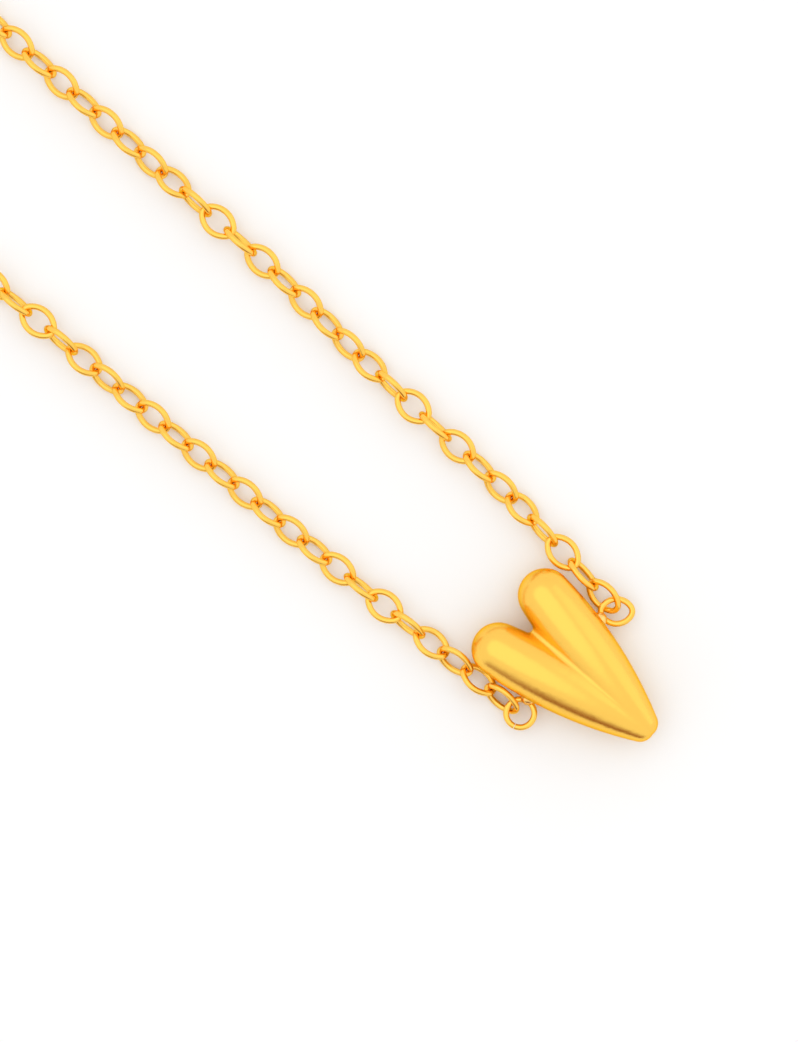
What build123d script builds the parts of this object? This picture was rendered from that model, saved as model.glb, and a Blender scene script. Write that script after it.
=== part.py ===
from build123d import *
from math import atan2, cos, pi, radians, sin, sqrt
import os

# Pendant necklace laid out flat, face up, clasp unfastened.
# Millimetres, +Z up. The heart points to -Y, its two strands run side by side to +Y and then open into a loop.
# The origin is under the middle of the whole necklace, on the surface that it lies on.
MIDDLE_X = 0.71
MIDDLE_Y = 69.95

# Round wire and oval links of the cable chain
WIRE = 0.36
LINK_LENGTH = 2.51
LINK_WIDTH = 1.84
LINK_END_RADIUS = 0.50
PLAY = 0.03
PITCH = LINK_LENGTH - 2 * WIRE - PLAY
LINK_HALF_LENGTH = (LINK_LENGTH - WIRE) / 2
LINK_HALF_WIDTH = (LINK_WIDTH - WIRE) / 2

# Heart: two egg-shaped lobes that share one tip
LOBE_SPLAY = 11.7
LOBE_TIP_RADIUS = 0.84
LOBE_CROWN_RADIUS = 1.6
LOBE_CROWN_AT = 10.31
LOBE_SIDE_RADIUS = 25.5
HEART_FLATNESS = 0.95
VALLEY_RADIUS = 0.25

# Rings soldered to the heart's sides
RING_X = 4.12
RING_Z = 0.85
LEFT_RING_Y = 6.65
LEFT_RING_RADIUS = 0.83
LEFT_SEAM_TURN = 196.0
SEAM = 0.04
RIGHT_RING_Y = 6.25
RIGHT_RING_HALF_LENGTH = 0.93
RIGHT_RING_HALF_WIDTH = 0.73
RIGHT_RING_TURN = -49.0
SOLDER_RADIUS = 0.46
SOLDER_X = 3.10
SOLDER_Z = 1.0
LEFT_SOLDER_Y = 6.90
RIGHT_SOLDER_Y = 6.70

# Each strand is a run of links. Knots are (link number, degrees), or (link number, mm) for lift.
# heading is the way the strand points, clockwise from +Y. roll is the turn of the odd links about the strand.
# lift is how far the strand rises above the surface, to meet the ring at its far end.
RIGHT_STRAND = {
    "start": (4.22, 6.54, 0.90),
    "heading": [(1, 6), (4, 7), (8, 1), (14, 4.5), (18, 1), (29, 1), (36, 76), (48, 76),
                (66, 17), (84, -36), (100, -84), (116, -90)],
    "roll": [(1, 219), (2, 202), (3, 182), (5, 142), (8, 111), (10, 92), (12, 55), (14, 38), (17, 25),
             (19, 3), (21, -37), (23, -51), (28, -60), (40, -45)],
    "lift": [(100, 0), (112, 0.46)],
    "segments": (1, 1, 5, 7, 7, 7, 15, 15, 15, 15, 15, 9),
}
LEFT_STRAND = {
    "start": (-4.15, 7.16, 0.85),
    "heading": [(1, -1), (3, -3), (7, -2), (12, -1), (29, -0.5), (36, -76), (48, -76),
                (66, -17), (84, 36), (100, 84), (116, 90)],
    "roll": [(1, 55), (3, 48), (5, 70), (6, 90), (7, 105), (9, 125), (16, 122), (18, 141),
             (20, 160), (21, 178), (23, 212), (25, 225)],
    "lift": [(98, 0), (108, 0.52)],
    "segments": (1, 1, 5, 7, 7, 7, 15, 15, 15, 15, 15, 5),
}
STEEPEST_STEP = 0.25
FLOOR_GAP = 0.025

# Rings at the strands' far ends
CLASP_RING_RADIUS = 1.15
CLASP_RING_WIRE = 0.40
CLASP_RING_ROLL = 60
CATCH_RING_RADIUS = 1.35
CATCH_RING_WIRE = 0.45
CATCH_RING_ROLL = -45

# Lobster clasp: X runs from its eye to its claw, Y to the side where it opens, Z through its thickness
CLASP_THICKNESS = 2.4
EYE_RADIUS = 1.40
EYE_HOLE = 0.92
EYE_THICKNESS = 0.55
EYE_OFFSET = 0.52
CLAW_X = 5.9
CLAW_RADIUS = 2.2
ROOM_RADIUS = 1.5
CLAW_TIP_ANGLE = 52
EDGE_RADIUS = 0.35
SLOT_WIDTH = 0.95
SLOT_START = 1.9
SLOT_FLOOR = -0.25
LEVER_THICKNESS = 0.85
ARM_THICKNESS = 0.56
ARM_ELBOW = (4.9, 1.45)
ARM_TIP = (6.62, 0.86)
TAB_END = (2.55, 2.2)
PIVOT = (3.1, 0.9)
PIN_RADIUS = 0.28
PIN_PLAY = 0.03
HUB_RADIUS = 0.62
SPRING_WIRE = 0.12
SPRING_RADIUS = 0.42
SPRING_TURNS = 2.25
SPRING_PITCH = 0.13
SPRING_LEG = 0.5
RECESS_RADIUS = 0.95
RECESS_DEPTH = 0.47

made = {}
os.makedirs("parts", exist_ok=True)


def keep(name, shape):
    """Moves a sub-part from the heart's own place to the shared origin and writes it."""
    placed = Pos(-MIDDLE_X, -MIDDLE_Y, 0) * shape
    made[name] = placed
    export_step(placed, f"parts/{name}.step")


def say_hinge(name, point, axis):
    """Prints a hinge's pivot, in the shared frame, and its axis."""
    x, y, z = point.X - MIDDLE_X, point.Y - MIDDLE_Y, point.Z
    print(f"hinge {name} {x:.4f} {y:.4f} {z:.4f} {axis.X:.14f} {axis.Y:.14f} {axis.Z:.14f}")


def between(knots, number):
    """The value at a link number, straight from one knot to the next."""
    if number <= knots[0][0]:
        return knots[0][1]
    for (low, a), (high, b) in zip(knots, knots[1:]):
        if number <= high:
            return a + (b - a) * (number - low) / (high - low)
    return knots[-1][1]


def oval(half_length, half_width, end_radius):
    """A closed outline of two end arcs and two side arcs that meet in line, longer along X."""
    reach = half_length - end_radius
    side_radius = (reach**2 + half_width**2 - end_radius**2) / (2 * (half_width - end_radius))
    turn = atan2(side_radius - half_width, reach)
    meet_x = reach + end_radius * cos(turn)
    meet_y = end_radius * sin(turn)
    corners = [(meet_x, meet_y), (-meet_x, meet_y), (-meet_x, -meet_y), (meet_x, -meet_y)]
    top = ThreePointArc(corners[0], (0, half_width), corners[1])
    left = ThreePointArc(corners[1], (-half_length, 0), corners[2])
    bottom = ThreePointArc(corners[2], (0, -half_width), corners[3])
    right = ThreePointArc(corners[3], (half_length, 0), corners[0])
    return Wire([top, left, bottom, right])


def oval_ring(half_length, half_width, end_radius, wire):
    """Round wire bent into a closed oval."""
    path = oval(half_length, half_width, end_radius)
    section = Plane(origin=path @ 0, z_dir=path % 0) * Circle(wire / 2)
    return sweep(section, path=path)


def round_ring(radius, wire, seam_turn):
    """A jump ring, cut at one place and closed again, so that its ends butt at a fine seam."""
    seam = Rot(0, 0, seam_turn) * Pos(radius, 0, 0) * Box(2 * wire, SEAM, 2 * wire)
    return Torus(radius, wire / 2) - seam


# Chain --------------------------------------------------------------------------------

def height(roll):
    """How high the middle of a strand lies when its links are turned by roll on a flat surface."""
    turn = radians(roll)
    return FLOOR_GAP + WIRE / 2 + LINK_HALF_WIDTH * max(abs(sin(turn)), abs(cos(turn)))


def lay_links(strand):
    """The plane of each link in turn: X along the link, Y across it."""
    planes = []
    here = Vector(*strand["start"])
    for number in range(1, sum(strand["segments"]) + 1):
        heading = radians(between(strand["heading"], number))
        rise = height(between(strand["roll"], number + 0.5)) + between(strand["lift"], number) - here.Z
        rise = max(-STEEPEST_STEP, min(STEEPEST_STEP, rise))
        level = sqrt(PITCH**2 - rise**2)
        step = Vector(level * sin(heading), level * cos(heading), rise)
        along = step.normalized()
        right = along.cross(Vector(0, 0, 1)).normalized()
        up = right.cross(along)
        roll = radians(between(strand["roll"], number) - (0 if number % 2 else 90))
        across = right * cos(roll) + up * sin(roll)
        planes.append(Plane(origin=here + step / 2, x_dir=along, z_dir=along.cross(across)))
        here = here + step
    return planes


def make_strand(side, strand, link):
    """Writes a strand as segments of separate links, with a hinge where each segment hooks into the last one."""
    planes = lay_links(strand)
    first = 0
    for number, count in enumerate(strand["segments"], 1):
        links = [plane.location * link for plane in planes[first:first + count]]
        keep(f"{side}_chain_{number:02d}", Compound(children=[Solid(one.solid().wrapped) for one in links]))
        if first:
            pin = planes[first - 1]
            say_hinge(f"{side}_chain_{number:02d}", pin.origin + pin.x_dir * LINK_HALF_LENGTH, pin.y_dir)
        first += count
    return planes[-1]


# Heart --------------------------------------------------------------------------------

def lobe_profile():
    """Half the outline of a lobe, from the tip at the origin to the crown, with its axis along Y."""
    tip_centre = LOBE_TIP_RADIUS
    gap = LOBE_CROWN_AT - tip_centre
    # The side arc touches the tip arc and the crown arc from outside: its centre lies where two circles cross.
    to_tip = LOBE_SIDE_RADIUS - LOBE_TIP_RADIUS
    to_crown = LOBE_SIDE_RADIUS - LOBE_CROWN_RADIUS
    rise = (to_tip**2 - to_crown**2 + gap**2) / (2 * gap)
    centre_y = tip_centre + rise
    centre_x = -sqrt(to_tip**2 - rise**2)

    def touch(circle_y, radius):
        away = Vector(-centre_x, circle_y - centre_y).normalized()
        return (away.X * radius, circle_y + away.Y * radius)

    low = touch(tip_centre, LOBE_TIP_RADIUS)
    high = touch(LOBE_CROWN_AT, LOBE_CROWN_RADIUS)
    side_start = atan2(low[1] - centre_y, low[0] - centre_x)
    side_end = atan2(high[1] - centre_y, high[0] - centre_x)
    middle_turn = (side_start + side_end) / 2
    middle = (centre_x + LOBE_SIDE_RADIUS * cos(middle_turn), centre_y + LOBE_SIDE_RADIUS * sin(middle_turn))
    low_turn = (atan2(low[1] - tip_centre, low[0]) - pi / 2) / 2
    tip_middle = (LOBE_TIP_RADIUS * cos(low_turn), tip_centre + LOBE_TIP_RADIUS * sin(low_turn))
    high_turn = (atan2(high[1] - LOBE_CROWN_AT, high[0]) + pi / 2) / 2
    crown_middle = (LOBE_CROWN_RADIUS * cos(high_turn), LOBE_CROWN_AT + LOBE_CROWN_RADIUS * sin(high_turn))
    top = (0, LOBE_CROWN_AT + LOBE_CROWN_RADIUS)
    edges = [
        ThreePointArc((0, 0), tip_middle, low),
        ThreePointArc(low, middle, high),
        ThreePointArc(high, crown_middle, top),
        Line(top, (0, 0)),
    ]
    return make_face(edges)


def make_heart():
    """One casting: two lobes of revolution joined along a valley, flattened, and laid on its back."""
    lobe = revolve(lobe_profile(), axis=Axis.Y)
    right = Rot(0, 0, -LOBE_SPLAY) * lobe
    left = Rot(0, 0, LOBE_SPLAY) * lobe
    flat = scale(right + left, by=(1, 1, HEART_FLATNESS))
    valley = [edge for edge in flat.edges() if abs(edge.center().X) < 0.01 and edge.length > 2]
    soft = fillet(valley, VALLEY_RADIUS)
    return Pos(0, 0, -soft.bounding_box().min.Z) * soft


def solder(ring, heart, x, y):
    """A bead of solder that fills the corner between a ring and the heart's side."""
    bead = Pos(x, y, SOLDER_Z) * Sphere(SOLDER_RADIUS)
    return (bead - heart - ring).solids().sort_by(SortBy.VOLUME)[-1]


# Clasp --------------------------------------------------------------------------------

def make_claw():
    """The clasp's cast body: an eye, a claw round an open room, and a slot for the lever."""
    eye = Circle(EYE_RADIUS)
    claw = Pos(CLAW_X, 0) * Circle(CLAW_RADIUS)
    outline = make_hull(eye.edges() + claw.edges())
    room = Pos(CLAW_X, 0) * Circle(ROOM_RADIUS)
    tip = (CLAW_X + 3 * cos(radians(CLAW_TIP_ANGLE)), 3 * sin(radians(CLAW_TIP_ANGLE)))
    gate = make_face(Polyline((CLAW_X - 1.3, 0), (CLAW_X, 0), tip, (CLAW_X - 1.3, 3.2), close=True))
    plate = extrude(outline, CLASP_THICKNESS / 2, both=True)
    flats = plate.faces().sort_by(Axis.Z)
    plate = fillet(flats[0].edges() + flats[-1].edges(), EDGE_RADIUS)
    plate -= extrude(room + gate, CLASP_THICKNESS, both=True)
    plate -= Cylinder(EYE_HOLE, CLASP_THICKNESS * 2)
    for side in (1, -1):
        shave = Box(3 * EYE_RADIUS, 3 * EYE_RADIUS, 1, align=(Align.MAX, Align.CENTER, Align.CENTER))
        plate -= Pos(EYE_RADIUS + 0.1, 0, side * (EYE_THICKNESS / 2 + 0.5)) * shave
    slot_length = CLAW_X - 1.0 - SLOT_START
    slot = Box(slot_length, 4, SLOT_WIDTH, align=(Align.MIN, Align.MIN, Align.CENTER))
    plate -= Pos(SLOT_START, SLOT_FLOOR, 0) * slot
    plate -= Pos(*PIVOT, 0) * Cylinder(PIN_RADIUS, CLASP_THICKNESS * 2)
    return plate


def make_lever():
    """The gate of the clasp: an arm that closes the claw, a hub on the pin and a tab for the thumbnail."""
    hub = Pos(*PIVOT) * Circle(HUB_RADIUS)
    elbow = Pos(*ARM_ELBOW) * Circle(ARM_THICKNESS / 2)
    tip = Pos(*ARM_TIP) * Circle(ARM_THICKNESS / 2)
    thumb = Pos(*TAB_END) * Circle(ARM_THICKNESS / 2)
    outline = make_hull(hub.edges() + elbow.edges())
    outline += make_hull(elbow.edges() + tip.edges())
    outline += make_hull(hub.edges() + thumb.edges())
    lever = extrude(outline, LEVER_THICKNESS / 2, both=True)
    lever -= Pos(*PIVOT, 0) * Cylinder(PIN_RADIUS + PIN_PLAY, LEVER_THICKNESS * 2)
    recess = Cylinder(RECESS_RADIUS, RECESS_DEPTH, align=(Align.CENTER, Align.CENTER, Align.MAX))
    return lever - Pos(*PIVOT, LEVER_THICKNESS / 2) * recess


def make_spring():
    """A coil round the pin with two short legs, lying in the lever's recess."""
    coil_height = SPRING_TURNS * SPRING_PITCH
    path = Helix(SPRING_PITCH, coil_height, SPRING_RADIUS)
    coil = sweep(Plane(origin=path @ 0, z_dir=path % 0) * Circle(SPRING_WIRE / 2), path=path)
    for end, way in ((0, -1), (1, 1)):
        leg = Cylinder(SPRING_WIRE / 2, SPRING_LEG, align=(Align.CENTER, Align.CENTER, Align.MIN))
        coil += Plane(origin=path @ end, z_dir=(path % end) * way).location * leg
    low = LEVER_THICKNESS / 2 - RECESS_DEPTH + SPRING_WIRE / 2 + 0.02
    return Pos(*PIVOT, low) * coil


# Everything in its place --------------------------------------------------------------

heart = make_heart()
left_ring = Pos(-RING_X, LEFT_RING_Y, RING_Z) * round_ring(LEFT_RING_RADIUS, WIRE, LEFT_SEAM_TURN)
right_oval = oval_ring(RIGHT_RING_HALF_LENGTH, RIGHT_RING_HALF_WIDTH, LINK_END_RADIUS, WIRE)
right_ring = Pos(RING_X, RIGHT_RING_Y, RING_Z) * Rot(0, 0, RIGHT_RING_TURN) * right_oval
keep("heart", heart)
keep("left_ring", left_ring)
keep("right_ring", right_ring)
keep("left_solder", solder(left_ring, heart, -SOLDER_X, LEFT_SOLDER_Y))
keep("right_solder", solder(right_ring, heart, SOLDER_X, RIGHT_SOLDER_Y))

say_hinge("left_chain_01", Vector(-4.15, LEFT_RING_Y + LEFT_RING_RADIUS, RING_Z), Vector(1, 0, 0))
say_hinge("right_chain_01", Vector(4.34, 6.92, RING_Z), Vector(0.814, -0.296, -0.5).normalized())
link = oval_ring(LINK_HALF_LENGTH, LINK_HALF_WIDTH, LINK_END_RADIUS, WIRE)
left_last = make_strand("left", LEFT_STRAND, link)
right_last = make_strand("right", RIGHT_STRAND, link)


def ring_after(last, roll, radius, wire):
    """The plane of a ring that hangs in the last link, level along the strand: X along it, Y across the ring."""
    along = Vector(last.x_dir.X, last.x_dir.Y, 0).normalized()
    right = along.cross(Vector(0, 0, 1))
    across = right * cos(radians(roll)) + Vector(0, 0, 1) * sin(radians(roll))
    hook = last.origin + last.x_dir * LINK_HALF_LENGTH
    centre = hook + along * (radius - (WIRE + wire) / 2 - PLAY)
    return Plane(origin=centre, x_dir=along, z_dir=along.cross(across))


clasp_ring = ring_after(left_last, CLASP_RING_ROLL, CLASP_RING_RADIUS, CLASP_RING_WIRE)
catch_ring = ring_after(right_last, CATCH_RING_ROLL, CATCH_RING_RADIUS, CATCH_RING_WIRE)
keep("clasp_ring", clasp_ring.location * round_ring(CLASP_RING_RADIUS, CLASP_RING_WIRE, 90))
keep("catch_ring", catch_ring.location * round_ring(CATCH_RING_RADIUS, CATCH_RING_WIRE, 90))
say_hinge("clasp_ring", left_last.origin + left_last.x_dir * LINK_HALF_LENGTH, left_last.y_dir)
say_hinge("catch_ring", right_last.origin + right_last.x_dir * LINK_HALF_LENGTH, right_last.y_dir)

far_wire = clasp_ring.origin + clasp_ring.x_dir * CLASP_RING_RADIUS
eye = far_wire + clasp_ring.x_dir * EYE_OFFSET
clasp = Plane(origin=(eye.X, eye.Y, CLASP_THICKNESS / 2 + FLOOR_GAP), x_dir=clasp_ring.x_dir, z_dir=(0, 0, 1))
pin = Pos(*PIVOT, 0) * Cylinder(PIN_RADIUS, CLASP_THICKNESS - 0.06)
keep("clasp_body", clasp.location * make_claw())
keep("clasp_lever", clasp.location * make_lever())
keep("clasp_pin", clasp.location * pin)
keep("clasp_spring", clasp.location * make_spring())
say_hinge("clasp_body", far_wire, clasp_ring.y_dir)
say_hinge("clasp_lever", clasp.from_local_coords(Vector(*PIVOT, 0)), Vector(0, 0, 1))
print("catch_ring centre", catch_ring.origin - Vector(MIDDLE_X, MIDDLE_Y, 0), "axis", catch_ring.z_dir)
print("claw room centre", clasp.from_local_coords(Vector(CLAW_X, 0, 0)) - Vector(MIDDLE_X, MIDDLE_Y, 0))

box = Compound(children=[Solid(one.wrapped) for shape in made.values() for one in shape.solids()]).bounding_box()
print("box", box.min, box.max)
for name, shape in made.items():
    print(name, len(shape.solids()), "valid", shape.is_valid, "mm3", round(shape.volume, 3))
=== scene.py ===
import bpy
from math import cos, radians, sin
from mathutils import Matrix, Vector


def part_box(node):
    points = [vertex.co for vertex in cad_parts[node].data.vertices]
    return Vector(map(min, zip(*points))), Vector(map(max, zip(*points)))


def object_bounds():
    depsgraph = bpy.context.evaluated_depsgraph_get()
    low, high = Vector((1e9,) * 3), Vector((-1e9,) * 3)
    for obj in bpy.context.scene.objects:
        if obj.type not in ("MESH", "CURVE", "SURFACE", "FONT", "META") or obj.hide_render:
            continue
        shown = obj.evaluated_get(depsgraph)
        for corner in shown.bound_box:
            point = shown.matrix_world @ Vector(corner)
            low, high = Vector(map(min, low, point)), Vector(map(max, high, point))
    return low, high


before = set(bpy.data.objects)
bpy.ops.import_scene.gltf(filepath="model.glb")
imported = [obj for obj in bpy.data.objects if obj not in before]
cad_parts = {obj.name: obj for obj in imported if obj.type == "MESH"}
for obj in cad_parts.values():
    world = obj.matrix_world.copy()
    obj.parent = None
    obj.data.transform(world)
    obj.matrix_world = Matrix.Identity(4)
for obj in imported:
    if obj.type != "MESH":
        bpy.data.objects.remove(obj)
cad_low, cad_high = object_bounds()

# Camera -------------------------------------------------------------------------------
# It looks straight down on the heart and the near parts of both strands. The picture is turned, so that the
# heart's tip points to the lower right.
MM = 0.001
VIEW_TURN = radians(-49.4)
VIEW_DISTANCE = 200 * MM
VIEW_HALF_HEIGHT = 30.65 * MM
VIEW_MIDDLE_FROM_TIP = Vector((-0.17, 19.45, 1.0)) * MM

heart_low, heart_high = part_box("heart")
tip = Vector(((heart_low.x + heart_high.x) / 2, heart_low.y, 0))
picture_right = Vector((cos(VIEW_TURN), sin(VIEW_TURN), 0))
picture_up = Vector((-sin(VIEW_TURN), cos(VIEW_TURN), 0))

camera_data = bpy.data.cameras.new("camera")
camera_data.lens = camera_data.sensor_width / 2 * VIEW_DISTANCE / VIEW_HALF_HEIGHT
camera_data.clip_start = VIEW_DISTANCE * 0.1
camera_data.clip_end = VIEW_DISTANCE * 20
camera = bpy.data.objects.new("camera", camera_data)
camera.location = tip + VIEW_MIDDLE_FROM_TIP + Vector((0, 0, VIEW_DISTANCE))
camera.rotation_euler = (0, 0, VIEW_TURN)
bpy.context.collection.objects.link(camera)
bpy.context.scene.camera = camera


# Floor --------------------------------------------------------------------------------
# A sheet of cast acrylic, white and sanded matt, under the whole necklace.
# Matt acrylic gives the eye a plain pale ground with soft shadows and no gloss.
def linear(colour):
    """A colour written as sRGB hex, as the linear values that a shader takes."""
    parts = [int(colour[i:i + 2], 16) / 255 for i in (1, 3, 5)]
    return [p / 12.92 if p <= 0.04045 else ((p + 0.055) / 1.055) ** 2.4 for p in parts] + [1]


def add(tree, kind, settings=None, links=None, **values):
    """Adds a node with its own settings, the outputs linked to its sockets, and its sockets' values."""
    node = tree.nodes.new(kind)
    for key, value in (settings or {}).items():
        setattr(node, key, value)
    for key, value in values.items():
        node.inputs[key.replace("_", " ")].default_value = value
    for key, source in (links or {}).items():
        tree.links.new(source, node.inputs[key])
    return node


def new_material(name):
    """An empty material and its node tree."""
    material = bpy.data.materials.new(name)
    material.use_nodes = True
    material.node_tree.nodes.clear()
    return material, material.node_tree


white_acrylic, tree = new_material("white_acrylic")
matt = add(tree, "ShaderNodeBsdfPrincipled", Base_Color=linear("#FAFAFA"), Roughness=0.9)
add(tree, "ShaderNodeOutputMaterial", links={"Surface": matt.outputs["BSDF"]})

FLOOR_SIZE = 1.2
FLOOR_DROP = 0.02 * MM
bpy.ops.mesh.primitive_plane_add(size=FLOOR_SIZE, location=(0, 0, cad_low.z - FLOOR_DROP))
floor = bpy.context.object
floor.name = "floor"
floor.data.materials.append(white_acrylic)


# Light --------------------------------------------------------------------------------
# One softbox overhead on the left and a second on the right, in a white room with one dim brown corner, low down
# below the picture. Polished gold shows that corner as a brown line along the heart's lower edge.
def softbox(name, right, up, height, size, power):
    """A round softbox, placed from the heart's tip in the picture's own directions and aimed at it."""
    light = bpy.data.lights.new(name, "AREA")
    light.shape = "DISK"
    light.size = size
    light.energy = power
    lamp = bpy.data.objects.new(name, light)
    place = picture_right * right + picture_up * up + Vector((0, 0, height))
    lamp.location = tip + place
    lamp.rotation_mode = "QUATERNION"
    lamp.rotation_quaternion = (-place).to_track_quat("-Z", "Y")
    bpy.context.collection.objects.link(lamp)


softbox("key", -0.10, 0.04, 0.34, 0.46, 0.14)
softbox("fill", 0.40, 0.15, 0.30, 0.50, 0.12)

DIM_CORNER = (-picture_right * 0.15 - picture_up * 0.98 + Vector((0, 0, -0.15))).normalized()
world = bpy.data.worlds.new("studio")
world.use_nodes = True
room = world.node_tree
look = add(room, "ShaderNodeTexCoord")
facing = add(room, "ShaderNodeVectorMath", {"operation": "DOT_PRODUCT"}, {0: look.outputs["Generated"]})
facing.inputs[1].default_value = DIM_CORNER
share = add(room, "ShaderNodeMapRange", {"interpolation_type": "SMOOTHSTEP"},
            {"Value": facing.outputs["Value"]}, From_Min=0.62, From_Max=0.98)
# A colour mix keeps its two colours in sockets 6 and 7, and its result in output 2.
MIX_FIRST, MIX_SECOND, MIX_RESULT = 6, 7, 2
walls = add(room, "ShaderNodeMix", {"data_type": "RGBA"}, {"Factor": share.outputs["Result"]})
walls.inputs[MIX_FIRST].default_value = linear("#FFFFFF")
walls.inputs[MIX_SECOND].default_value = linear("#8A4A18")
room.links.new(walls.outputs[MIX_RESULT], room.nodes["Background"].inputs["Color"])
bpy.context.scene.world = world
bpy.context.scene.view_settings.view_transform = "Standard"


# Heart --------------------------------------------------------------------------------
# One puffed casting in yellow gold, the piece that everything else hangs from. It is tumbled and hand polished,
# which gives the eye a soft lustre, with faint clouds of finer and coarser polish.
def gold(name, colour, edge, roughness, spread, grain):
    """Gold with a lustre that varies by spread over clouds of the given size in metres."""
    material, tree = new_material(name)
    place = add(tree, "ShaderNodeTexCoord")
    clouds = add(tree, "ShaderNodeTexNoise", links={"Vector": place.outputs["Object"]},
                 Scale=1 / grain, Detail=3.0, Roughness=0.6)
    polish = add(tree, "ShaderNodeMapRange", links={"Value": clouds.outputs["Fac"]},
                 From_Min=0.3, From_Max=0.7, To_Min=roughness - spread, To_Max=roughness + spread)
    metal = add(tree, "ShaderNodeBsdfPrincipled", links={"Roughness": polish.outputs["Result"]},
                Base_Color=linear(colour), Metallic=1.0, Specular_Tint=linear(edge))
    add(tree, "ShaderNodeOutputMaterial", links={"Surface": metal.outputs["BSDF"]})
    return material


def finish(material, *names):
    """Gives CAD nodes a material in every slot."""
    for name in names:
        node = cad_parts[name]
        if not node.material_slots:
            node.data.materials.append(material)
        for slot in node.material_slots:
            slot.material = material


# A cloud is about as wide as a polishing felt's touch.
POLISH_CLOUD = 2.5 * MM
cast_gold = gold("cast_gold_polished", "#FFCC5C", "#FFDA84", 0.25, 0.012, POLISH_CLOUD)
finish(cast_gold, "heart")

# Side rings ---------------------------------------------------------------------------
# Short lengths of drawn gold wire, bent round, closed and soldered to the heart's sides. The left one is round and
# shows the seam where its ends meet. Drawn wire gives the eye a bright hard gloss with sharp highlights.
# Drawing marks are far finer than this. They are drawn as coarse as they need to be to show.
DRAWN_GRAIN = 0.15 * MM
drawn_gold = gold("drawn_gold_wire", "#FFCC5C", "#FFDA84", 0.13, 0.02, DRAWN_GRAIN)
finish(drawn_gold, "left_ring", "right_ring")

# Solder -------------------------------------------------------------------------------
# One bead of gold solder in the corner between each ring and the heart, left as it flowed.
# It gives the eye a small bright spot, paler than the wire because of the silver in the solder.
SOLDER_GRAIN = 0.2 * MM
gold_solder = gold("gold_solder_flowed", "#FFD27A", "#FFDC90", 0.16, 0.06, SOLDER_GRAIN)
finish(gold_solder, "left_solder", "right_solder")

# Chain --------------------------------------------------------------------------------
# Cable chain. Each link is a separate oval of the same drawn gold wire, threaded through the last, soldered shut
# and tumbled bright.
chain = [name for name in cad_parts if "_chain_" in name]
finish(drawn_gold, *chain)

# Clasp --------------------------------------------------------------------------------
# A lobster clasp in cast gold: a body, and a lever on a pressed-in pin. It hangs from one ring of drawn wire and
# closes on another, at the two far ends of the chain.
finish(drawn_gold, "clasp_ring", "catch_ring")
finish(cast_gold, "clasp_body", "clasp_lever", "clasp_pin")

# Clasp spring -------------------------------------------------------------------------
# Spring steel wire, drawn hard and coiled round the pin in the lever's recess, where it pushes the lever shut.
# Bare drawn steel gives the eye a cool grey among the gold.
spring_steel, tree = new_material("spring_steel_wire")
steel = add(tree, "ShaderNodeBsdfPrincipled", Base_Color=linear("#C8C6C2"), Metallic=1.0, Roughness=0.3)
add(tree, "ShaderNodeOutputMaterial", links={"Surface": steel.outputs["BSDF"]})
finish(spring_steel, "clasp_spring")
